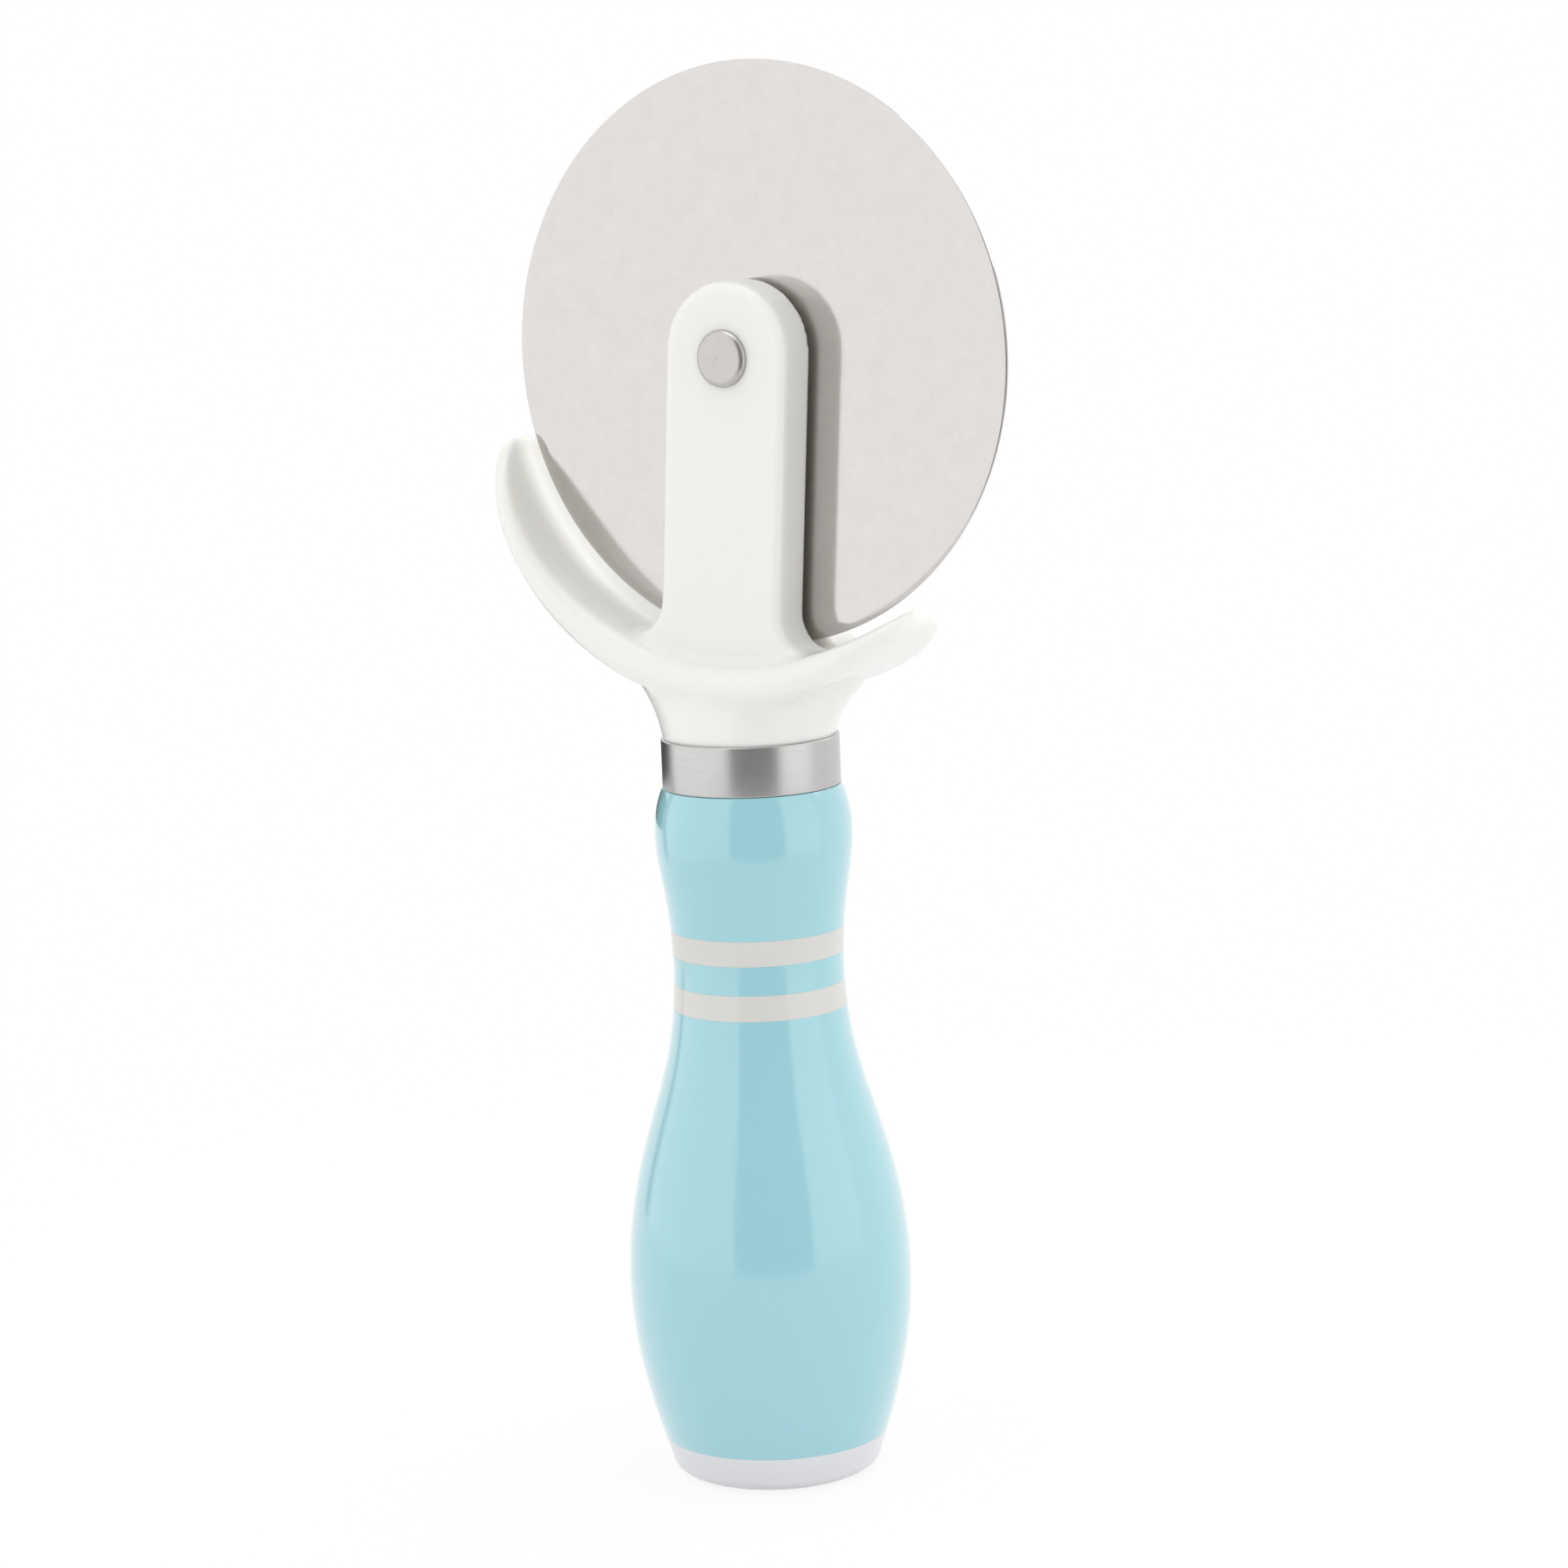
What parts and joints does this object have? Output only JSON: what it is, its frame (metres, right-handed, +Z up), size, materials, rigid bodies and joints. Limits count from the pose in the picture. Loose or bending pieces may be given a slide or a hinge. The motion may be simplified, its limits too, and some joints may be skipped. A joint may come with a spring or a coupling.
{
  "type": "pizza cutter wheel",
  "caption": "Hand wheel cutter: a steel disc turns between two prongs above a crescent finger guard, on a pin-shaped handle that stands on its foot.",
  "frame": {"origin": "centre of the handle's flat foot, where the cutter stands", "axes": "+Z up along the handle's axis towards the wheel, X in the plane of the wheel, Y along the axle; the front with the round axle head faces -Y and the long arm of the guard is on -X"},
  "size_m": [0.1029, 0.05, 0.248],
  "materials": {
    "blade_steel": "polished disc with a ground edge",
    "axle_steel": "brushed",
    "ferrule_steel": "brushed round the ring",
    "white_plastic": "smooth moulded, satin gloss",
    "blue_plastic": "high gloss moulded",
    "stripe_plastic": "gloss moulded",
    "foot_plastic": "gloss moulded",
    "bush_plastic": "natural low-friction plastic",
    "core_plastic": "moulded, unpolished",
    "screw_steel": "zinc plated",
    "insert_brass": "turned"
  },
  "bodies": {
    "handle": {"fork": "white_plastic", "axle_post": "axle_steel", "axle_pin": "axle_steel", "spacer_washer_front": "bush_plastic", "spacer_washer_back": "bush_plastic", "ferrule": "ferrule_steel", "upper_grip": "blue_plastic", "stripe_ring_upper": "stripe_plastic", "middle_grip": "blue_plastic", "stripe_ring_lower": "stripe_plastic", "lower_grip": "blue_plastic", "base_cap": "foot_plastic", "handle_core": "core_plastic", "tie_screw": "screw_steel", "screw_washer": "screw_steel", "tang_insert": "insert_brass"},
    "wheel": {"wheel_blade": "blade_steel", "hub_bush_front": "bush_plastic", "hub_bush_back": "bush_plastic"}
  },
  "joints": [
    {"name": "wheel_spin", "type": "hinge", "parent": "handle", "child": "wheel", "pos_m": [0.00436, 0, 0.19804], "axis": [0, 1, 0], "continuous": true}
  ]
}
